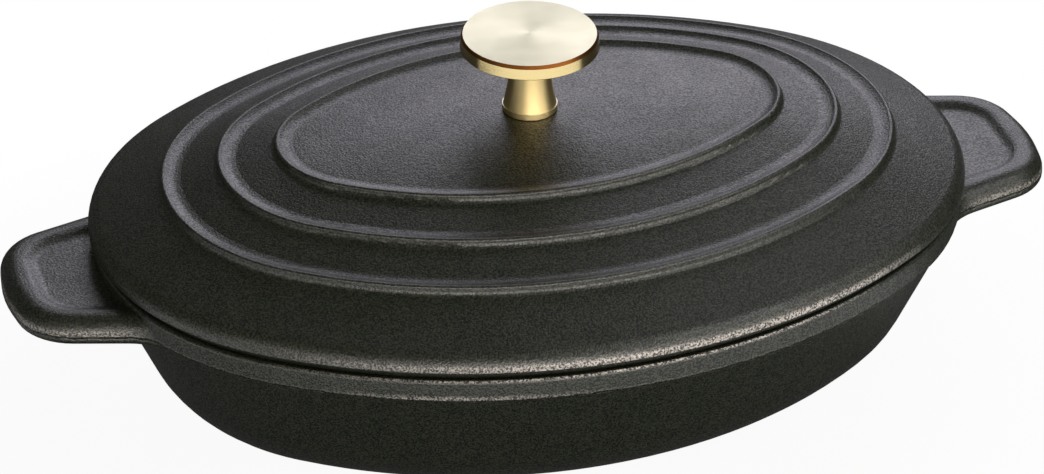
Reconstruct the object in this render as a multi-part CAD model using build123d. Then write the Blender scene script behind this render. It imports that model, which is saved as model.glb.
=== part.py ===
from build123d import *
import os
from math import atan2, cos, degrees, hypot, radians, sin, tan

# A lidded oval baking dish in enamelled cast iron with a turned brass knob.
# Millimetres. The origin is the middle of the base, Z points up, X runs from
# ear to ear, and the dish stands on Z = 0.

# The oval is drawn with four arcs, and every other outline runs parallel to it.
# Insets are measured inwards from the outer edge of the lid.
LID_HALF_LENGTH = 115.0
LID_HALF_WIDTH = 86.5
END_RADIUS = 72.4
END_CENTRE = LID_HALF_LENGTH - END_RADIUS
SIDE_RADIUS = (END_CENTRE**2 + LID_HALF_WIDTH**2 - END_RADIUS**2) / (2 * (LID_HALF_WIDTH - END_RADIUS))
SIDE_CENTRE = SIDE_RADIUS - LID_HALF_WIDTH

# Heights of the closed dish.
RIM_TOP = 47.0
SEAT_GAP = 0.3
LID_SEAT = RIM_TOP + SEAT_GAP

# Dish casting: a thick rim band, then a wall that leans in to a rounded corner.
RIM_INSET = 1.0
RIM_THICKNESS = 5.4
RIM_BAND_HEIGHT = 6.2
RIM_TOP_EDGE_RADIUS = 0.9
RIM_BOTTOM_EDGE_RADIUS = 1.3
RIM_INNER_EDGE_RADIUS = 0.8
WALL_STEP = 1.7
WALL_STEP_SLOPE = 0.7
WALL_TAPER = 24.0
WALL_CORNER_RADIUS = 26.0
WALL_THICKNESS = 4.0
FLOOR_THICKNESS = 4.4
FLOOR_CORNER_RADIUS = 22.0
FLOOR_INSET = 40.0
RIM_BEND_RADIUS = 10.0

# Ears: flat lugs cast on the rim band, with a raised border round a sunk panel.
EAR_REACH = 139.1
EAR_TOP_DROP = 1.0
EAR_THICKNESS = 7.0
EAR_TIP_X = 136.0
EAR_TIP_HALF_WIDTH = 21.2
EAR_ROOT_X = 109.0
EAR_ROOT_HALF_WIDTH = 29.0
EAR_ANCHOR_X = 90.0
EAR_ANCHOR_HALF_WIDTH = 47.3
EAR_CORNER_RADIUS = 16.0
EAR_TIP_RADIUS = 45.0
EAR_ROOT_RADIUS = 16.0
EAR_TOP_EDGE_RADIUS = 4.4
EAR_BOTTOM_EDGE_RADIUS = 1.5
EAR_EMBED_INSET = 3.6
PANEL_DEPTH = 1.3
PANEL_START_X = 103.0
PANEL_START_HALF_WIDTH = 20.5
PANEL_END_X = 129.0
PANEL_END_HALF_WIDTH = 14.5
PANEL_CORNER_RADIUS = 10.0
PANEL_SLOPE = 64.0
PANEL_EDGE_RADIUS = 4.0

# Stepped lid. Each step ends in a raised lip that swells up from the step inside it
# and drops steeply to the one outside: (inset of its crest, height of its crest, drop).
LIPS = ((48.75, 72.0, 1.9), (33.85, 68.0, 1.9), (19.45, 63.1, 2.2))
LIP_CREST_WIDTH = 0.9
LIP_CREST_RADIUS = 0.6
LIP_INNER_RISE = 1.15
LIP_INNER_RUN = 2.2
LIP_TROUGH_RADIUS = 5.0
LIP_OUTER_RUN = 0.15
LIP_FOOT_RADIUS = 1.4
LID_SHOULDER = 53.3
LID_SHOULDER_RADIUS = 4.8
LID_EDGE_BOTTOM = 49.8
LID_UNDERCUT = 2.5
LID_BOTTOM_EDGE_RADIUS = 0.45
LID_UNDERSIDE_DROP = 5.6
LID_UNDERSIDE_RADIUS = 12.0
LOCATING_RIM_INSET = 8.4
LOCATING_RIM_WIDTH = 3.2
LOCATING_RIM_DEPTH = 2.6
LOCATING_RIM_EDGE_RADIUS = 0.8
LID_SKIRT_TOP = 53.8
LID_SKIRT_INSET = 13.0
DOME_INSET = 53.6
DOME_EDGE = 71.14
DOME_RISE = 3.06
DOME_UNDERSIDE = 66.75
DOME_UNDERSIDE_RISE = 3.0
DOME_SECTIONS = (1.0, 0.85, 0.7, 0.55, 0.4, 0.25, 0.12)

# Turned brass knob; its heights are measured up from the lid.
KNOB_SEAT = 74.05
KNOB_SEAT_RADIUS = 7.6
KNOB_DISC_RADIUS = 17.85
KNOB_BAND_TOP_RADIUS = 17.6
KNOB_TOP_RADIUS = 17.1
KNOB_DISC_UNDERSIDE = 18.2
KNOB_BAND_HEIGHT = 2.7
KNOB_CHAMFER = 0.9
KNOB_CROWN = 0.2
KNOB_FOOT_RADIUS = 7.1
KNOB_FOOT_HEIGHT = 1.7
KNOB_STEM_BASE_RADIUS = 6.9
KNOB_STEM_MIDDLE_RADIUS = 5.65
KNOB_STEM_MIDDLE_HEIGHT = 7.8
KNOB_STEM_TOP_RADIUS = 5.15
KNOB_STEM_TOP_HEIGHT = 15.0
KNOB_EDGE_BREAK = 0.25
KNOB_BORE_RADIUS = 3.0
KNOB_BORE_DEPTH = 13.0

# Screw and washer that hold the knob from inside the lid.
SCREW_RADIUS = 2.9
SCREW_LENGTH = 11.5
SCREW_HOLE_RADIUS = 3.4
SCREW_HEAD_RADIUS = 5.2
SCREW_HEAD_HEIGHT = 3.2
SCREW_HEAD_EDGE_RADIUS = 1.2
SCREW_SLOT_WIDTH = 1.4
SCREW_SLOT_DEPTH = 1.5
WASHER_RADIUS = 8.0
WASHER_HOLE_RADIUS = 3.2
WASHER_THICKNESS = 1.2
WASHER_SEAT = 69.75
WASHER_SEAT_RADIUS = 8.6


def rounded_face(corners):
    """Face in the XZ plane through corners (x, z, radius), each corner rounded."""
    points = [Vector(x, 0, z) for x, z, _ in corners]
    count = len(points)
    stretches = []
    for i, (_, _, radius) in enumerate(corners):
        here = points[i]
        back = (points[i - 1] - here).normalized()
        ahead = (points[(i + 1) % count] - here).normalized()
        if radius == 0:
            stretches.append((here, here, here))
            continue
        half = back.get_angle(ahead) / 2
        middle = (back + ahead).normalized()
        reach = radius / tan(radians(half))
        centre = here + middle * (radius / sin(radians(half)))
        stretches.append((here + back * reach, centre - middle * radius, here + ahead * reach))
    edges = []
    for i, (start, middle, end) in enumerate(stretches):
        if (end - start).length > 0:
            edges.append(Edge.make_three_point_arc(start, middle, end))
        following = stretches[(i + 1) % count][0]
        edges.append(Edge.make_line(end, following))
    return Face(Wire(edges))


def flat_face(corners):
    """The same outline laid flat, with (x, y, radius) corners."""
    return rounded_face(corners).rotate(Axis.X, -90)


def oval_solid(corners):
    """Solid whose section (inset, height, corner radius) runs right round the oval."""
    turn = degrees(atan2(SIDE_CENTRE, END_CENTRE))
    sectors = (
        (END_CENTRE, 0, END_RADIUS, -turn, 2 * turn),
        (0, -SIDE_CENTRE, SIDE_RADIUS, turn, 180 - 2 * turn),
        (-END_CENTRE, 0, END_RADIUS, 180 - turn, 2 * turn),
        (0, SIDE_CENTRE, SIDE_RADIUS, 180 + turn, 180 - 2 * turn),
    )
    pieces = []
    for x, y, radius, start, span in sectors:
        section = rounded_face([(radius - inset, z, r) for inset, z, r in corners])
        piece = revolve(section, Axis.Z, span)
        pieces.append(Pos(x, y, 0) * Rot(0, 0, start) * piece)
    return pieces[0] + pieces[1] + pieces[2] + pieces[3]


def oval_face(inset, height, scale=1.0):
    """Flat oval face at a height, shrunk towards its middle by the scale."""
    end_radius = (END_RADIUS - inset) * scale
    side_radius = (SIDE_RADIUS - inset) * scale
    end_centre = END_CENTRE * scale
    side_centre = SIDE_CENTRE * scale
    slant = hypot(END_CENTRE, SIDE_CENTRE)
    join_x = end_centre + end_radius * END_CENTRE / slant
    join_y = end_radius * SIDE_CENTRE / slant
    right = end_centre + end_radius
    top = side_radius - side_centre
    corners = [Vector(join_x, -join_y, height), Vector(join_x, join_y, height)]
    corners += [Vector(-join_x, join_y, height), Vector(-join_x, -join_y, height)]
    middles = [Vector(right, 0, height), Vector(0, top, height)]
    middles += [Vector(-right, 0, height), Vector(0, -top, height)]
    edges = []
    for i in range(4):
        edges.append(Edge.make_three_point_arc(corners[i], middles[i], corners[(i + 1) % 4]))
    return Face(Wire(edges))


def oval_block(inset, low, high):
    return extrude(oval_face(inset, low), amount=high - low, dir=(0, 0, 1))


def round_bar(radius, low, high):
    return Pos(0, 0, low) * Cylinder(radius, high - low, align=(Align.CENTER, Align.CENTER, Align.MIN))


def dome(inset, low, rise):
    """Shallow oval dome standing on the parallel oval at the inset."""
    sections = [oval_face(inset, low + rise * (1 - s * s), s) for s in DOME_SECTIONS]
    return Part() + Solid.make_loft([s.outer_wire() for s in sections])


def dish_bowl():
    """Rim band, leaning wall, rounded corner and floor."""
    taper = tan(radians(WALL_TAPER))
    rim_inner = RIM_INSET + RIM_THICKNESS
    band_bottom = RIM_TOP - RIM_BAND_HEIGHT
    wall_top = band_bottom - WALL_STEP_SLOPE
    wall_inset = RIM_INSET + WALL_STEP
    foot_inset = wall_inset + wall_top * taper
    across = WALL_THICKNESS / cos(radians(WALL_TAPER))
    bend_height = wall_top + (wall_inset + across - rim_inner) / taper
    inner_foot_inset = wall_inset + across + (wall_top - FLOOR_THICKNESS) * taper
    section = [
        (RIM_INSET, RIM_TOP, RIM_TOP_EDGE_RADIUS),
        (RIM_INSET, band_bottom, RIM_BOTTOM_EDGE_RADIUS),
        (wall_inset, wall_top, RIM_BOTTOM_EDGE_RADIUS),
        (foot_inset, 0, WALL_CORNER_RADIUS),
        (FLOOR_INSET, 0, 0),
        (FLOOR_INSET, FLOOR_THICKNESS, 0),
        (inner_foot_inset, FLOOR_THICKNESS, FLOOR_CORNER_RADIUS),
        (rim_inner, bend_height, RIM_BEND_RADIUS),
        (rim_inner, RIM_TOP, RIM_INNER_EDGE_RADIUS),
    ]
    return oval_solid(section) + oval_block(FLOOR_INSET, 0, FLOOR_THICKNESS)


def ear():
    """One ear on the +X side, ending inside the rim band."""
    top = RIM_TOP - EAR_TOP_DROP
    bottom = top - EAR_THICKNESS
    outline = flat_face([
        (EAR_ANCHOR_X, -EAR_ANCHOR_HALF_WIDTH, 0),
        (EAR_ROOT_X, -EAR_ROOT_HALF_WIDTH, EAR_ROOT_RADIUS),
        (EAR_TIP_X, -EAR_TIP_HALF_WIDTH, EAR_CORNER_RADIUS),
        (EAR_REACH, 0, EAR_TIP_RADIUS),
        (EAR_TIP_X, EAR_TIP_HALF_WIDTH, EAR_CORNER_RADIUS),
        (EAR_ROOT_X, EAR_ROOT_HALF_WIDTH, EAR_ROOT_RADIUS),
        (EAR_ANCHOR_X, EAR_ANCHOR_HALF_WIDTH, 0),
    ])
    slab = Pos(0, 0, bottom) * extrude(outline, amount=EAR_THICKNESS, dir=(0, 0, 1))
    slab = fillet(slab.faces().sort_by(Axis.Z)[-1].edges(), EAR_TOP_EDGE_RADIUS)
    slab = fillet(slab.faces().sort_by(Axis.Z)[0].edges(), EAR_BOTTOM_EDGE_RADIUS)
    panel = flat_face([
        (PANEL_START_X, -PANEL_START_HALF_WIDTH, 0),
        (PANEL_END_X, -PANEL_END_HALF_WIDTH, PANEL_CORNER_RADIUS),
        (PANEL_END_X, PANEL_END_HALF_WIDTH, PANEL_CORNER_RADIUS),
        (PANEL_START_X, PANEL_START_HALF_WIDTH, 0),
    ])
    floor = top - PANEL_DEPTH
    pocket = Pos(0, 0, floor) * extrude(panel, amount=2 * PANEL_DEPTH, dir=(0, 0, 1), taper=-PANEL_SLOPE)
    slab = slab - pocket
    slab = fillet(slab.faces().sort_by(Axis.Z)[-1].inner_wires()[0].edges(), PANEL_EDGE_RADIUS)
    sunk = slab.faces().filter_by(Plane.XY).sort_by(Axis.Z)[-2]
    slab = fillet(sunk.edges(), PANEL_EDGE_RADIUS)
    return slab - oval_block(EAR_EMBED_INSET, 0, 2 * RIM_TOP)


def dish():
    lug = ear()
    return dish_bowl() + lug + lug.mirror(Plane.YZ)


def lip_corners(inset, crest, drop):
    """Top of one step, from the trough inside the lip to the foot outside it."""
    inner = inset + LIP_CREST_WIDTH / 2
    outer = inset - LIP_CREST_WIDTH / 2
    return [
        (inner + LIP_INNER_RUN, crest - LIP_INNER_RISE, LIP_TROUGH_RADIUS),
        (inner, crest, LIP_CREST_RADIUS),
        (outer, crest, LIP_CREST_RADIUS),
        (outer - LIP_OUTER_RUN, crest - drop, LIP_FOOT_RADIUS),
    ]


def lid_rings():
    """The stepped part of the lid with its edge, seat and locating rim."""
    rim_low = LID_SEAT - LOCATING_RIM_DEPTH
    rim_inner = LOCATING_RIM_INSET + LOCATING_RIM_WIDTH
    section = [(DOME_INSET, DOME_EDGE, 0)]
    for inset, crest, drop in LIPS:
        section += lip_corners(inset, crest, drop)
    section += [
        (0, LID_SHOULDER, LID_SHOULDER_RADIUS),
        (0, LID_EDGE_BOTTOM, LID_BOTTOM_EDGE_RADIUS),
        (LID_UNDERCUT, LID_SEAT, LID_BOTTOM_EDGE_RADIUS),
        (LOCATING_RIM_INSET, LID_SEAT, LOCATING_RIM_EDGE_RADIUS),
        (LOCATING_RIM_INSET, rim_low, LOCATING_RIM_EDGE_RADIUS),
        (rim_inner, rim_low, LOCATING_RIM_EDGE_RADIUS),
        (LID_SKIRT_INSET, LID_SKIRT_TOP, LOCATING_RIM_WIDTH),
    ]
    for inset, crest, _ in reversed(LIPS):
        section.append((inset, crest - LID_UNDERSIDE_DROP, LID_UNDERSIDE_RADIUS))
    section.append((DOME_INSET, DOME_UNDERSIDE, 0))
    return oval_solid(section)


def lid():
    middle = oval_block(DOME_INSET, DOME_UNDERSIDE, DOME_EDGE) + dome(DOME_INSET, DOME_EDGE, DOME_RISE)
    middle -= dome(DOME_INSET, DOME_UNDERSIDE, DOME_UNDERSIDE_RISE)
    middle -= round_bar(KNOB_SEAT_RADIUS, KNOB_SEAT, DOME_EDGE + DOME_RISE)
    middle -= round_bar(WASHER_SEAT_RADIUS, DOME_UNDERSIDE, WASHER_SEAT)
    middle -= round_bar(SCREW_HOLE_RADIUS, DOME_UNDERSIDE, KNOB_SEAT)
    return lid_rings() + middle


def chain(points):
    """Straight edges from each (x, z) point to the next."""
    ends = [Vector(x, 0, z) for x, z in points]
    return [Edge.make_line(start, end) for start, end in zip(ends, ends[1:])]


def knob():
    """Flat disc on a waisted stem with a small foot, bored from below."""
    band_top = KNOB_DISC_UNDERSIDE + KNOB_BAND_HEIGHT
    edge = band_top + KNOB_CHAMFER
    crown = edge + KNOB_CROWN
    foot = chain([
        (KNOB_BORE_RADIUS, 0),
        (KNOB_FOOT_RADIUS - KNOB_EDGE_BREAK, 0),
        (KNOB_FOOT_RADIUS, KNOB_EDGE_BREAK),
        (KNOB_FOOT_RADIUS, KNOB_FOOT_HEIGHT),
        (KNOB_STEM_BASE_RADIUS, KNOB_FOOT_HEIGHT),
    ])
    stem = Edge.make_three_point_arc(
        (KNOB_STEM_BASE_RADIUS, 0, KNOB_FOOT_HEIGHT),
        (KNOB_STEM_MIDDLE_RADIUS, 0, KNOB_STEM_MIDDLE_HEIGHT),
        (KNOB_STEM_TOP_RADIUS, 0, KNOB_STEM_TOP_HEIGHT),
    )
    disc = chain([
        (KNOB_STEM_TOP_RADIUS, KNOB_STEM_TOP_HEIGHT),
        (KNOB_DISC_RADIUS - KNOB_EDGE_BREAK, KNOB_DISC_UNDERSIDE - KNOB_EDGE_BREAK),
        (KNOB_DISC_RADIUS, KNOB_DISC_UNDERSIDE),
        (KNOB_BAND_TOP_RADIUS, band_top),
        (KNOB_TOP_RADIUS, edge),
    ])
    top = Edge.make_tangent_arc((0, 0, crown), (1, 0, 0), (KNOB_TOP_RADIUS, 0, edge))
    bore = chain([
        (0, crown),
        (0, KNOB_BORE_DEPTH),
        (KNOB_BORE_RADIUS, KNOB_BORE_DEPTH),
        (KNOB_BORE_RADIUS, 0),
    ])
    section = Face(Wire(foot + [stem] + disc + [top] + bore))
    return Pos(0, 0, KNOB_SEAT) * revolve(section, Axis.Z, 360)


def washer():
    low = WASHER_SEAT - WASHER_THICKNESS
    return round_bar(WASHER_RADIUS, low, WASHER_SEAT) - round_bar(WASHER_HOLE_RADIUS, low, WASHER_SEAT)


def knob_screw():
    head_top = WASHER_SEAT - WASHER_THICKNESS
    head_low = head_top - SCREW_HEAD_HEIGHT
    head = round_bar(SCREW_HEAD_RADIUS, head_low, head_top)
    head = fillet(head.edges().sort_by(Axis.Z)[0], SCREW_HEAD_EDGE_RADIUS)
    slot = Pos(0, 0, head_low) * Box(4 * SCREW_HEAD_RADIUS, SCREW_SLOT_WIDTH, 2 * SCREW_SLOT_DEPTH)
    shank_top = KNOB_SEAT + SCREW_LENGTH
    return head - slot + round_bar(SCREW_RADIUS, head_top, shank_top)


PIECES = {
    "dish": dish,
    "lid": lid,
    "knob": knob,
    "knob_washer": washer,
    "knob_screw": knob_screw,
}

os.makedirs("parts", exist_ok=True)
for name, make in PIECES.items():
    shape = make()
    shape.label = name
    export_step(shape, os.path.join("parts", name + ".step"))
    box = shape.bounding_box()
    print(name, len(shape.solids()), "solid", shape.is_valid, round(shape.volume), box.size)
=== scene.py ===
"""Looks of a lidded oval baking dish in black enamelled cast iron with a turned brass knob.

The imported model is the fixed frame, and everything here is in that frame, in metres:
X runs from ear to ear, Y across the dish, Z is up, and the dish stands on Z = 0.
"""

import logging
from collections.abc import Iterable
from dataclasses import dataclass
from enum import Enum
from math import cos, pi, radians, sin

import bpy
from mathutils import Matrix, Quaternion, Vector


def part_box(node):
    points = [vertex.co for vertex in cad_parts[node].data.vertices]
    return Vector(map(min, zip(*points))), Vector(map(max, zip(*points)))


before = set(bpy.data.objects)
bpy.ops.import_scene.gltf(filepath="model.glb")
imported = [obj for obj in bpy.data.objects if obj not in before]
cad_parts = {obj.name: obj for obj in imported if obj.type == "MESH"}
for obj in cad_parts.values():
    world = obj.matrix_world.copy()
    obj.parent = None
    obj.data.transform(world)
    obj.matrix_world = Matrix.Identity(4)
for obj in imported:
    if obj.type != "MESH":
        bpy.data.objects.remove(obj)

Tree = bpy.types.NodeTree
# What feeds a socket: an output, or a node, which stands for its first output.
Source = bpy.types.NodeSocket | bpy.types.Node
# What goes into a node: sockets by name or number, or the first ones in order.
Inputs = dict[int | str, object] | tuple[object, ...]
Span = tuple[float, float]
Place = tuple[float, float, float]

MM = 0.001
WHITE = (1.0, 1.0, 1.0, 1.0)
# A place times this is moved down to the table.
FLAT = (1.0, 1.0, 0.0)
# Most of a noise pattern lies between these two values.
NOISE_SPAN = (0.3, 0.7)

log = logging.getLogger("baking_dish")


def hex_to_linear(code: str) -> tuple[float, float, float, float]:
    """Turn an sRGB hex colour into linear light.

    Args:
        code: colour such as "#2A2B27".

    Returns:
        Linear red, green and blue, with an alpha of 1.
    """
    channels = [int(code[i : i + 2], 16) / 255 for i in (1, 3, 5)]
    red, green, blue = (c / 12.92 if c <= 0.04045 else ((c + 0.055) / 1.055) ** 2.4 for c in channels)
    return red, green, blue, 1.0


def in_metres(start_mm: float, end_mm: float) -> Span:
    """Turn a range in millimetres into metres."""
    return start_mm * MM, end_mm * MM


def per_metre(size_mm: float) -> float:
    """Pattern scale whose features are about this many millimetres wide."""
    return 1 / (size_mm * MM)


def add_node(tree: Tree, kind: str, inputs: Inputs = (), **settings: object) -> bpy.types.Node:
    """Add one node to a material, with its settings and links.

    A MapRange node takes, in order, a value, the range it comes in and the range it goes out
    in, and holds it at the ends.

    Args:
        tree: node tree of the material.
        kind: Blender's name for the type of node, without its ShaderNode.
        inputs: values and sources for its sockets.
        settings: properties of the node itself.

    Returns:
        The new node.
    """
    node = tree.nodes.new("ShaderNode" + kind)
    for name, value in settings.items():
        setattr(node, name, value)
    by_key = inputs if isinstance(inputs, dict) else dict(enumerate(inputs))
    for key, value in by_key.items():
        source = value.outputs[0] if isinstance(value, bpy.types.Node) else value
        if isinstance(source, bpy.types.NodeSocket):
            tree.links.new(source, node.inputs[key])
        else:
            node.inputs[key].default_value = source
    return node


def overlap(tree: Tree, share: Source, *others: Source | float) -> Source:
    """Share that is left where several shares overlap.

    Args:
        tree: node tree of the material.
        share: share to start from.
        others: shares that it is multiplied by.

    Returns:
        Source of the product.
    """
    for other in others:
        share = add_node(tree, "Math", (share, other), operation="MULTIPLY")
    return share


def band(tree: Tree, value: Source, rise: Span, fall: Span) -> Source:
    """Share that is 1 in a band of values, with soft ends.

    Args:
        tree: node tree of the material.
        value: source of the value.
        rise: where the share grows from 0 to 1.
        fall: where it drops from 1 to 0 again.

    Returns:
        Source of the share.
    """
    past_start = add_node(tree, "MapRange", (value, *rise, 0.0, 1.0))
    before_end = add_node(tree, "MapRange", (value, *fall, 1.0, 0.0))
    return overlap(tree, past_start, before_end)


def patches(tree: Tree, place: Source, size_mm: float, limits: Span) -> Source:
    """Value that drifts between two limits, in patches fixed to the piece.

    Args:
        tree: node tree of the material.
        place: source of the place on the piece, in metres.
        size_mm: width of the patches.
        limits: lowest and highest value.

    Returns:
        Source of the value.
    """
    pattern = add_node(tree, "TexNoise", {"Vector": place, "Scale": per_metre(size_mm), "Detail": 3.0})
    return add_node(tree, "MapRange", (pattern, *NOISE_SPAN, *limits))


def layered_colour(tree: Tree, base: str, layers: Iterable[tuple[Source, str]]) -> Source:
    """Colour with others laid over it, each by its own share.

    Args:
        tree: node tree of the material.
        base: hex colour underneath.
        layers: share and hex colour of each layer, from the bottom up.

    Returns:
        Source of the colour.
    """
    colour = hex_to_linear(base)
    for share, code in layers:
        inputs = {0: share, 6: colour, 7: hex_to_linear(code)}
        colour = add_node(tree, "Mix", inputs, data_type="RGBA").outputs[2]
    return colour


def stacked_relief(tree: Tree, layers: Iterable[tuple[Source, float]]) -> Source:
    """Relief of several patterns, each laid over the one before.

    Args:
        tree: node tree of the material.
        layers: each pattern, between 0 and 1, with its height at 1 in millimetres.

    Returns:
        Source of the direction that the surface faces.
    """
    under = {}
    for pattern, height_mm in layers:
        inputs = {"Height": pattern, "Distance": height_mm * MM, "Strength": 1.0}
        under = {"Normal": add_node(tree, "Bump", inputs | under)}
    return under["Normal"]


def start_material(name: str) -> tuple[bpy.types.Material, Tree]:
    """Make an empty material.

    Args:
        name: what the real material is called.

    Returns:
        The material and its node tree.
    """
    material = bpy.data.materials.new(name)
    material.use_nodes = True
    material.node_tree.nodes.clear()
    return material, material.node_tree


@dataclass(frozen=True)
class ThinEdgeWithPaintedHighlight:
    """Stretch of outer edge that the melted enamel drew back from, up to a share of bare grey.

    It lies between two heights, and along X it fades in over left_mm and out over right_mm.
    The pale grey is partly painted highlight: it stands in for the front lamps' highlight on
    these edges, and its fades along X follow where that highlight falls.
    """

    low_mm: float
    high_mm: float
    share: float
    left_mm: Span = (-85.0, -15.0)
    right_mm: Span = (62.0, 88.0)
    # It starts sharply at its lower end and thins out above its upper end.
    start_mm: float = 0.1
    fade_mm: float = 0.7
    # It is broken up, down to the first of these shares.
    breaks: Span = (0.6, 1.0)
    # A surface counts as outside by how far from the middle it faces outwards, in metres.
    outside: Span = (0.02, 0.04)

    def bareness_and_painted_highlight(self, tree: Tree, place: Source, peel: Source) -> Source:
        """Broken line of bare grey, partly painted highlight, on the outside only.

        Args:
            tree: node tree of the material.
            place: source of the place on the piece.
            peel: pattern of thicker and thinner enamel.

        Returns:
            Source of the share of grey, which is 0 away from the line.
        """
        axes = add_node(tree, "SeparateXYZ", (place,)).outputs
        rise = in_metres(self.low_mm - self.start_mm, self.low_mm + self.start_mm)
        level = band(tree, axes["Z"], rise, in_metres(self.high_mm, self.high_mm + self.fade_mm))
        length = band(tree, axes["X"], in_metres(*self.left_mm), in_metres(*self.right_mm))
        facing = add_node(tree, "NewGeometry").outputs["True Normal"]
        flat = add_node(tree, "VectorMath", (place, FLAT), operation="MULTIPLY")
        outward = add_node(tree, "VectorMath", (facing, flat), operation="DOT_PRODUCT").outputs["Value"]
        outside = add_node(tree, "MapRange", (outward, *self.outside, 0.0, 1.0))
        broken = add_node(tree, "MapRange", (peel, *NOISE_SPAN, *self.breaks))
        # Share of pale grey: partly bare enamel, partly painted highlight.
        return overlap(tree, level, length, outside, broken, self.share)


@dataclass(frozen=True)
class PartingLine:
    """Ragged groove with a low burr above it, where the two halves of a mould met."""

    level_mm: float
    # It wanders up and down by this much, in waves of this width.
    wander_mm: float = 0.3
    wave_mm: float = 2.4
    # Depth of the groove, and height of the burr, which runs this far above it.
    groove_depth_mm: float = 0.12
    burr_height_mm: float = 0.05
    burr_rise_mm: float = 0.6
    # Half the width of the core, and of the whole with its soft sides.
    groove_half_mm: Span = (0.1, 0.35)
    burr_half_mm: Span = (0.1, 0.4)

    def layers(self, tree: Tree, place: Source) -> list[tuple[Source, float]]:
        """Layers of relief that the line adds.

        Args:
            tree: node tree of the material.
            place: source of the place on the piece.

        Returns:
            The burr and the groove, each with its height at 1 in millimetres.
        """
        level = add_node(tree, "SeparateXYZ", (place,)).outputs["Z"]
        wander = patches(tree, place, self.wave_mm, in_metres(-self.wander_mm, self.wander_mm))
        height = add_node(tree, "Math", (level, wander), operation="ADD")
        gaps = []
        for middle_mm in (self.level_mm, self.level_mm + self.burr_rise_mm):
            above = add_node(tree, "Math", (height, middle_mm * MM), operation="SUBTRACT")
            gaps.append(add_node(tree, "Math", (above,), operation="ABSOLUTE"))
        groove = add_node(tree, "MapRange", (gaps[0], *in_metres(*self.groove_half_mm), 0.0, 1.0))
        burr = add_node(tree, "MapRange", (gaps[1], *in_metres(*self.burr_half_mm), 1.0, 0.0))
        return [(burr, self.burr_height_mm), (groove, self.groove_depth_mm)]


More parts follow.
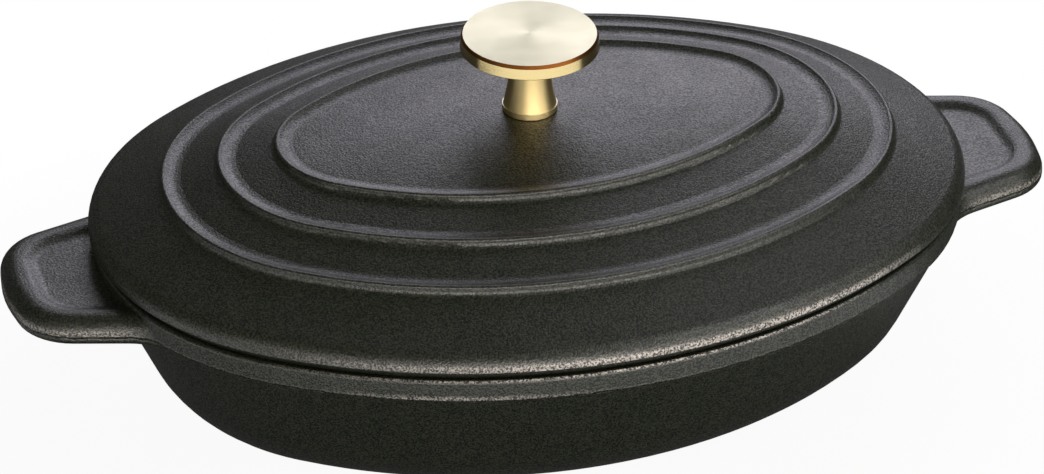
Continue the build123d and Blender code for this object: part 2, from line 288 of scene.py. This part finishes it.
@dataclass(frozen=True)
class MatteEnamel:
    """Black vitreous enamel, sprayed on sand-cast iron and fired to a matte skin.

    The glassy skin follows the sand's waviness, and its fired grain scatters a soft light
    into a broad grey sheen with a fine sparkle, so the steps read by their highlights.
    The melt draws back from outer edges, which show as pale speckled lines that are partly
    painted highlight, and a casting from two half moulds keeps a faint ragged line where the
    halves met.
    """

    name: str = "enamel_matte_black_on_cast_iron"
    colour: str = "#151D0D"
    thin_colour: str = "#202316"
    # Pale grey of the thin edges, which also stands in for the front lamps' highlight: partly painted
    # highlight.
    bare_and_highlight_colour: str = "#B4AFA9"
    ior: float = 1.65
    roughness: float = 0.42
    # The roughness drifts by this much either way, in clouds.
    roughness_drift: float = 0.05
    cloud_mm: float = 7.6
    # Share of glassy coat and shade of the colour, each on dull and on sparkling grains.
    coat: Span = (0.08, 1.0)
    grain_shade: Span = (0.1, 1.95)
    coat_roughness: float = 0.36
    # The fired grain is about 0.1 mm; it is drawn at 0.5 mm, because less doesn't show.
    grain_mm: float = 0.5
    grain_depth_mm: float = 0.12
    # Part of the grain's pattern in which it turns from dull to sparkling.
    grain_turn: Span = (0.41, 0.59)
    # Soft dimples like those of orange peel, and the part of their pattern in which the
    # enamel turns from thick to thin.
    peel_mm: float = 1.9
    peel_depth_mm: float = 0.035
    peel_turn: Span = (0.35, 0.75)
    # Waviness that the enamel takes over from the sand mould.
    wave_mm: float = 21.0
    wave_depth_mm: float = 0.28
    # Specks that stand up from the skin, far apart.
    nib_spacing_mm: float = 6.5
    nib_radius_mm: float = 0.45
    nib_height_mm: float = 0.07
    parting: PartingLine | None = None
    # Pale edge lines, partly bare enamel and partly painted highlight.
    thin_edges_with_painted_highlight: tuple[ThinEdgeWithPaintedHighlight, ...] = ()

    def make(self) -> bpy.types.Material:
        """Build the material.

        Returns:
            The finish, ready for a piece.
        """
        material, tree = start_material(self.name)
        place = add_node(tree, "TexCoord").outputs["Object"]
        grain, peel, wave = (
            add_node(tree, "TexNoise", {"Vector": place, "Scale": per_metre(size), "Detail": 2.0})
            for size in (self.grain_mm, self.peel_mm, self.wave_mm)
        )
        glaze, speckle = (
            add_node(tree, "MapRange", (grain, *self.grain_turn, *limits))
            for limits in (self.coat, self.grain_shade)
        )
        shaded = {0: 1.0, 6: self.skin_colour(tree, place, peel), 7: speckle}
        colour = add_node(tree, "Mix", shaded, data_type="RGBA", blend_type="MULTIPLY")
        drift = (self.roughness - self.roughness_drift, self.roughness + self.roughness_drift)
        layers = [(wave, self.wave_depth_mm), (peel, self.peel_depth_mm), (grain, self.grain_depth_mm)]
        layers.append((self.nibs(tree, place), self.nib_height_mm))
        if self.parting:
            layers += self.parting.layers(tree, place)
        relief = stacked_relief(tree, layers)
        inputs = {
            "Base Color": colour.outputs[2],
            "Roughness": patches(tree, place, self.cloud_mm, drift),
            "IOR": self.ior,
            "Coat Weight": glaze,
            "Coat Roughness": self.coat_roughness,
            "Normal": relief,
            "Coat Normal": relief,
        }
        add_node(tree, "OutputMaterial", {"Surface": add_node(tree, "BsdfPrincipled", inputs)})
        return material

    def skin_colour(self, tree: Tree, place: Source, peel: Source) -> Source:
        """Colour of the skin, before the grain speckles it.

        Args:
            tree: node tree of the material.
            place: source of the place on the piece.
            peel: pattern of thicker and thinner enamel.

        Returns:
            Source of the colour.
        """
        thin = add_node(tree, "MapRange", (peel, *self.peel_turn, 0.0, 1.0))
        layers = [(thin, self.thin_colour)]
        # Lay the pale edge lines over the skin; they are partly painted highlight.
        layers += [(edge.bareness_and_painted_highlight(tree, place, peel), self.bare_and_highlight_colour) for edge in self.thin_edges_with_painted_highlight]
        return layered_colour(tree, self.colour, layers)

    def nibs(self, tree: Tree, place: Source) -> Source:
        """Scattered specks of enamel that stand up from the skin.

        Args:
            tree: node tree of the material.
            place: source of the place on the piece.

        Returns:
            Source of a height between 0 and 1.
        """
        inputs = {"Vector": place, "Scale": per_metre(self.nib_spacing_mm), "Randomness": 1.0}
        away = add_node(tree, "TexVoronoi", inputs).outputs["Distance"]
        reach = self.nib_radius_mm / self.nib_spacing_mm
        return add_node(tree, "MapRange", (away, 0.0, reach, 1.0, 0.0))


class ToolMarks(Enum):
    """How a metal piece was cut, which sets the way its fine lines run."""

    TURNED = "rings round the axis"
    ROLLED = "straight lines along X"


@dataclass(frozen=True)
class CutMetal:
    """Solid metal with the fine lines of the tool that cut it.

    Faces look up, walls look sideways, and the slanting edges lie between the two. Faces and
    slanting edges take colours of their own: a paler face is partly painted highlight, and a
    darker edge is painted shade.
    """

    name: str
    colour: str
    # Colour of upward faces; a paler one is partly painted highlight.
    face_tone_and_painted_highlight: str
    roughness: float
    face_roughness: float
    marks: ToolMarks
    # The roughness drifts by this much either way, in stains and from line to line.
    roughness_drift: float = 0.02
    stain_mm: float = 5.0
    # Walls above this height are polished, and 0 leaves them all as they were cut.
    polished_above_mm: float = 0.0
    polished_roughness: float = 0.16
    polish_blend_mm: float = 0.2
    # Darker colour of the slanting edges, which is painted shade.
    edge_painted_shade_colour: str = "#B9B8B4"
    # Upward part of the surface's direction, where a face starts and where an edge lies.
    face_start: Span = (0.9, 0.98)
    edge_start: Span = (0.3, 0.4)
    edge_end: Span = (0.75, 0.85)
    # Tool lines are 0.05 to 0.1 mm apart; they are drawn wider, because those don't show.
    line_mm: float = 0.3
    line_depth_mm: float = 0.006
    # Walls have lines too: the height counts this many times, and never cancels the radius.
    height_count: float = 1.7
    anisotropy: float = 0.6
    # A quarter turn, because the lines spread a reflection across them and not along them.
    anisotropy_turn: float = 0.25

    def make(self) -> bpy.types.Material:
        """Build the material.

        Returns:
            The finish, ready for a piece.
        """
        material, tree = start_material(self.name)
        place = add_node(tree, "TexCoord").outputs["Object"]
        facing = add_node(tree, "NewGeometry").outputs["True Normal"]
        upward = add_node(tree, "SeparateXYZ", (facing,)).outputs["Z"]
        face = add_node(tree, "MapRange", (upward, *self.face_start, 0.0, 1.0))
        edge = band(tree, upward, self.edge_start, self.edge_end)
        lines = self.tool_lines(tree, place)
        rough = self.wall_roughness(tree, place)
        for share, roughness in ((edge, self.roughness), (face, self.face_roughness)):
            rough = add_node(tree, "Mix", {0: share, 2: rough, 3: roughness})
        drift = (-self.roughness_drift, self.roughness_drift)
        stains = patches(tree, place, self.stain_mm, drift)
        streaks = add_node(tree, "MapRange", (lines, *NOISE_SPAN, *drift))
        for change in (stains, streaks):
            rough = add_node(tree, "Math", (change, rough), operation="ADD")
        # The face's colour is partly painted highlight, and the edge's is painted shade.
        layers = [(face, self.face_tone_and_painted_highlight), (edge, self.edge_painted_shade_colour)]
        inputs = {
            "Base Color": layered_colour(tree, self.colour, layers),
            "Metallic": 1.0,
            "Roughness": rough,
            "Anisotropic": self.anisotropy,
            "Anisotropic Rotation": self.anisotropy_turn,
            "Tangent": add_node(tree, "Tangent", direction_type="RADIAL", axis="Z"),
            "Normal": stacked_relief(tree, [(lines, self.line_depth_mm)]),
        }
        add_node(tree, "OutputMaterial", {"Surface": add_node(tree, "BsdfPrincipled", inputs)})
        return material

    def wall_roughness(self, tree: Tree, place: Source) -> Source:
        """Roughness of the walls, which are finer above the polished height.

        Args:
            tree: node tree of the material.
            place: source of the place on the piece.

        Returns:
            Source of the roughness.
        """
        height = add_node(tree, "SeparateXYZ", (place,)).outputs["Z"]
        middle, half = self.polished_above_mm, self.polish_blend_mm
        blend = in_metres(middle - half, middle + half)
        fine = self.polished_roughness if self.polished_above_mm else self.roughness
        return add_node(tree, "MapRange", (height, *blend, self.roughness, fine))

    def tool_lines(self, tree: Tree, place: Source) -> Source:
        """Lines left by the tool.

        Args:
            tree: node tree of the material.
            place: source of the place on the piece.

        Returns:
            Source of a height between 0 and 1.
        """
        axes = add_node(tree, "SeparateXYZ", (place,)).outputs
        across = axes["Y"]
        if self.marks is ToolMarks.TURNED:
            flat = add_node(tree, "VectorMath", (place, FLAT), operation="MULTIPLY")
            across = add_node(tree, "VectorMath", (flat,), operation="LENGTH").outputs["Value"]
        along = add_node(tree, "Math", (axes["Z"], self.height_count, across), operation="MULTIPLY_ADD")
        inputs = {"W": along, "Scale": per_metre(self.line_mm), "Detail": 1.0}
        return add_node(tree, "TexNoise", inputs, noise_dimensions="1D")


# Lid: near black, with a broad grey sheen on the steps and a pale line along the lower edge,
# which is partly painted highlight from the front lamps.
ENAMEL = MatteEnamel(thin_edges_with_painted_highlight=(ThinEdgeWithPaintedHighlight(50.1, 51.3, 0.85),))
# Dish: the same enamel on a casting from two half moulds. The pale lines run along the rim's
# upper edge, its lower edge and the sides of both ears. The one on the upper edge is partly
# bare enamel and partly painted highlight; those on the lower edge and the ears are painted
# highlight.
ENAMEL_WITH_PARTING_LINE = MatteEnamel(
    name="enamel_matte_black_on_two_part_casting",
    parting=PartingLine(41.1),
    thin_edges_with_painted_highlight=(
        ThinEdgeWithPaintedHighlight(46.6, 47.2, 1.0, (-85.0, -15.0), (48.0, 74.0)),
        ThinEdgeWithPaintedHighlight(41.5, 42.3, 0.4, (-72.0, -45.0), (-34.0, -5.0)),
        ThinEdgeWithPaintedHighlight(41.6, 42.6, 0.4, (-150.0, -140.0), (-116.0, -108.0)),
        ThinEdgeWithPaintedHighlight(41.6, 42.6, 0.4, (108.0, 116.0), (140.0, 150.0)),
    ),
)
# Knob: a pale top that is partly satin finish and partly painted highlight, a bright polished
# band under a thin brown edge of painted shade, and a golden stem.
BRASS = CutMetal(
    name="brass_turned_and_polished",
    colour="#F6DFA2",
    face_tone_and_painted_highlight="#F0EED2",
    roughness=0.4,
    face_roughness=0.44,
    marks=ToolMarks.TURNED,
    polished_above_mm=92.0,
    edge_painted_shade_colour="#8C5628",
)
# Screw: cool grey with a tight shine in rings, seen only inside the lid.
STAINLESS_TURNED = CutMetal(
    name="stainless_steel_turned",
    colour="#C6C5C1",
    face_tone_and_painted_highlight="#C6C5C1",
    roughness=0.28,
    face_roughness=0.3,
    marks=ToolMarks.TURNED,
)
# Washer: cool grey, a little duller, with the straight lines of the rolled sheet.
STAINLESS_ROLLED = CutMetal(
    name="stainless_steel_rolled_sheet",
    colour="#BDBCB9",
    face_tone_and_painted_highlight="#BDBCB9",
    roughness=0.32,
    face_roughness=0.34,
    marks=ToolMarks.ROLLED,
)


def dress(node: str, material: bpy.types.Material) -> None:
    """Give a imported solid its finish, and report it.

    Args:
        node: name of the solid.
        material: finish that covers all of it.
    """
    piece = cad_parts[node]
    if not piece.material_slots:
        piece.data.materials.append(material)
    for slot in piece.material_slots:
        slot.material = material
    low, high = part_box(node)
    size = tuple(round(side / MM, 1) for side in high - low)
    log.info("%s: %s, %s mm", node, material.name, size)


@dataclass
class DishCasting:
    """Shallow oval dish with its two ears, cast in one."""

    node: str = "dish"

    def build(self) -> None:
        """Dress the dish."""
        dress(self.node, ENAMEL_WITH_PARTING_LINE.make())


@dataclass
class LidCasting:
    """Stepped oval lid, cast in one."""

    node: str = "lid"

    def build(self) -> None:
        """Dress the lid."""
        dress(self.node, ENAMEL.make())


@dataclass
class KnobAssembly:
    """Turned knob with the washer and screw that hold it from inside the lid."""

    knob: str = "knob"
    washer: str = "knob_washer"
    screw: str = "knob_screw"

    def build(self) -> None:
        """Dress the knob, the washer and the screw."""
        dress(self.knob, BRASS.make())
        dress(self.washer, STAINLESS_ROLLED.make())
        dress(self.screw, STAINLESS_TURNED.make())


@dataclass(frozen=True)
class Softbox:
    """Rectangular soft lamp that faces the dish, with its glow in units of white paper.

    The azimuth is 0 behind the dish and 90 at its right end, and sizes are in metres.
    """

    name: str
    azimuth: float
    elevation: float
    distance: float
    width: float
    height: float
    glow: float
    colour: str = "#FFFFFF"
    target: Place = (0.0, 0.0, 0.05)

    def build(self) -> None:
        """Make the lamp, which the camera doesn't see itself."""
        lamp = bpy.data.lights.new(self.name, "AREA")
        lamp.shape = "RECTANGLE"
        lamp.size = self.width
        lamp.size_y = self.height
        lamp.color = hex_to_linear(self.colour)[:3]
        lamp.energy = pi * self.glow * self.width * self.height
        turn, rise = radians(self.azimuth), radians(self.elevation)
        away = Vector((sin(turn) * cos(rise), cos(turn) * cos(rise), sin(rise)))
        target = Vector(self.target)
        place = target + away * self.distance
        obj = bpy.data.objects.new(self.name, lamp)
        obj.location = place
        obj.rotation_euler = (target - place).to_track_quat("-Z", "Y").to_euler()
        obj.visible_camera = False
        bpy.context.scene.collection.objects.link(obj)


@dataclass
class Studio:
    """Wide pale table in a dim room, with soft lamps, and a table that glows in reflections with
    painted light in front of the dish and painted shadow close to it.
    """

    floor_radius: float = 3.5
    floor_sides: int = 96
    # The table lies a hair below the dish, so that the two never share a surface.
    floor_drop: float = 0.0002
    # The shadow lies towards the front left, and its length is drawn in to three quarters.
    shadow_middle: Place = (-0.03, -0.02, 0.0)
    shadow_squash: Place = (0.75, 1.0, 0.0)
    shadow_reach: Span = (0.085, 0.17)
    shadow_share: float = 0.06
    # Polished and glossy pieces see the table as a glow of painted reflection: painted shadow close
    # to the dish, white beyond it on the front half, and dim on the other.
    painted_shadow_reach: Span = (0.1, 0.17)
    bright_side: Place = (-0.276, -0.961, 0.0)
    bright_span: Span = (0.0, 0.12)
    painted_reflection_glow: Span = (0.06, 1.0)
    paper: str = "#E8E8E6"
    paper_roughness: float = 0.9
    paper_specular: float = 0.1
    room_colour: str = "#FFFBF2"
    room_glow: float = 0.08

    def build(self) -> None:
        """Make the table, the room and the lamps."""
        self.table()
        self.room()
        for lamp in self.lamps():
            lamp.build()

    def lamps(self) -> list[Softbox]:
        """List the lamps.

        Returns:
            The big lamp behind the dish, the long ones in front and at the left, and the side one.
        """
        return [
            Softbox("back_softbox", 25.0, 28.0, 1.6, 1.0, 1.1, 1.75, "#F6F2FF"),
            Softbox("front_key", 165.0, 15.0, 1.8, 3.2, 0.45, 4.7, "#FFF6EE"),
            Softbox("low_key", 188.0, 5.0, 1.8, 2.3, 0.15, 5.6, "#FFF6EE"),
            Softbox("left_key", 232.0, 20.0, 1.8, 1.2, 0.5, 1.3, "#FFF6EE"),
            Softbox("side_key", 122.0, 50.0, 1.6, 0.9, 0.9, 2.1),
        ]

    def table(self) -> None:
        """Make the table as one wide disc."""
        sides = self.floor_sides
        spin = [Quaternion((0, 0, 1), radians(360 * i / sides)) for i in range(sides)]
        points = [turn @ Vector((self.floor_radius, 0, -self.floor_drop)) for turn in spin]
        points.append(Vector((0, 0, -self.floor_drop)))
        faces = [(sides, i, (i + 1) % sides) for i in range(sides)]
        mesh = bpy.data.meshes.new("table_top")
        mesh.from_pydata([tuple(p) for p in points], [], faces)
        mesh.materials.append(self.paper_material())
        obj = bpy.data.objects.new("table_top", mesh)
        bpy.context.scene.collection.objects.link(obj)

    def paper_material(self) -> bpy.types.Material:
        """Matte white paper that shows as plain white, with a soft shadow of the dish, and that
        shows glossy pieces a glow of painted light, with painted shadow close to the dish.

        Returns:
            The table's finish.
        """
        material, tree = start_material("paper_matte_white")
        inputs = {
            "Base Color": hex_to_linear(self.paper),
            "Roughness": self.paper_roughness,
            "Specular IOR Level": self.paper_specular,
        }
        paper = add_node(tree, "BsdfPrincipled", inputs)
        place = add_node(tree, "TexCoord").outputs["Object"]
        rays = add_node(tree, "LightPath").outputs
        away = self.distance(tree, place)
        lit = add_node(tree, "MapRange", (away, *self.shadow_reach, 1 - self.shadow_share, 1.0))
        white = add_node(tree, "Emission", {"Color": WHITE, "Strength": 1.0})
        seen = add_node(tree, "MixShader", (overlap(tree, rays["Is Camera Ray"], lit), paper, white))
        # Painted shadow in the reflected table, close to the dish.
        beyond = add_node(tree, "MapRange", (away, *self.painted_shadow_reach, 0.0, 1.0))
        bright = overlap(tree, self.bright_part(tree, place), beyond)
        glow = add_node(tree, "MapRange", (bright, 0.0, 1.0, *self.painted_reflection_glow))
        # The glow that glossy pieces see is painted reflection, not lit by the lamps.
        sheen = add_node(tree, "Emission", {"Color": WHITE, "Strength": glow})
        reflected = (rays["Is Glossy Ray"], rays["Is Transmission Ray"])
        mirrored = add_node(tree, "Math", reflected, operation="MAXIMUM")
        surface = add_node(tree, "MixShader", (mirrored, seen, sheen))
        add_node(tree, "OutputMaterial", {"Surface": surface})
        return material

    def distance(self, tree: Tree, place: Source) -> Source:
        """Distance from the middle of the dish's shadow.

        Args:
            tree: node tree of the material.
            place: source of the place on the table.

        Returns:
            Source of a distance in metres, with the length drawn in.
        """
        moved = add_node(tree, "VectorMath", (place, self.shadow_middle), operation="SUBTRACT")
        drawn_in = add_node(tree, "VectorMath", (moved, self.shadow_squash), operation="MULTIPLY")
        return add_node(tree, "VectorMath", (drawn_in,), operation="LENGTH").outputs["Value"]

    def bright_part(self, tree: Tree, place: Source) -> Source:
        """Share of painted light on the table's glow, by the side of the dish it is on.

        Args:
            tree: node tree of the material.
            place: source of the place on the table.

        Returns:
            Source of a share that is 1 on the bright side and 0 on the dim side.
        """
        way = add_node(tree, "VectorMath", (place,), operation="NORMALIZE")
        towards = add_node(tree, "VectorMath", (way, self.bright_side), operation="DOT_PRODUCT")
        return add_node(tree, "MapRange", (towards.outputs["Value"], *self.bright_span, 0.0, 1.0))

    def room(self) -> None:
        """Light the room dimly from all round, and show it as white behind the table."""
        world = bpy.data.worlds.new("dim_room")
        world.use_nodes = True
        tree = world.node_tree
        tree.nodes.clear()
        inputs = {"Color": hex_to_linear(self.room_colour), "Strength": self.room_glow}
        dim = add_node(tree, "Background", inputs)
        white = add_node(tree, "Background", {"Color": WHITE, "Strength": 1.0})
        camera_ray = add_node(tree, "LightPath").outputs["Is Camera Ray"]
        surface = add_node(tree, "MixShader", (camera_ray, dim, white))
        add_node(tree, "OutputWorld", {"Surface": surface})
        bpy.context.scene.world = world


@dataclass(frozen=True)
class StillCamera:
    """Long lens on a tripod, a little to the left of the dish's front and above it."""

    place_mm: Place = (-318.90, -1085.64, 720.98)
    target_mm: Place = (-2.150, 0.0, 35.619)
    roll: float = -0.104
    lens_mm: float = 175.31
    sensor_mm: float = 36.0
    # The table's far side is less than 5 m away.
    clip_end: float = 20.0

    def build(self) -> None:
        """Make the camera and use it for the scene."""
        camera = bpy.data.cameras.new("still_camera")
        camera.lens = self.lens_mm
        camera.sensor_width = self.sensor_mm
        camera.sensor_fit = "HORIZONTAL"
        camera.clip_end = self.clip_end
        obj = bpy.data.objects.new("still_camera", camera)
        place = Vector(self.place_mm) * MM
        aim = (Vector(self.target_mm) * MM - place).to_track_quat("-Z", "Y")
        obj.location = place
        obj.rotation_euler = (aim @ Quaternion((0, 0, 1), radians(self.roll))).to_euler()
        bpy.context.scene.collection.objects.link(obj)
        bpy.context.scene.camera = obj


def main() -> None:
    """Build the dish from its solids, light it and set the camera."""
    logging.basicConfig(level=logging.INFO, format="%(message)s")
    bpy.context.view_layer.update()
    DishCasting().build()
    LidCasting().build()
    KnobAssembly().build()
    Studio().build()
    StillCamera().build()
    bpy.context.scene.view_settings.view_transform = "Standard"


if __name__ == "__main__":
    main()
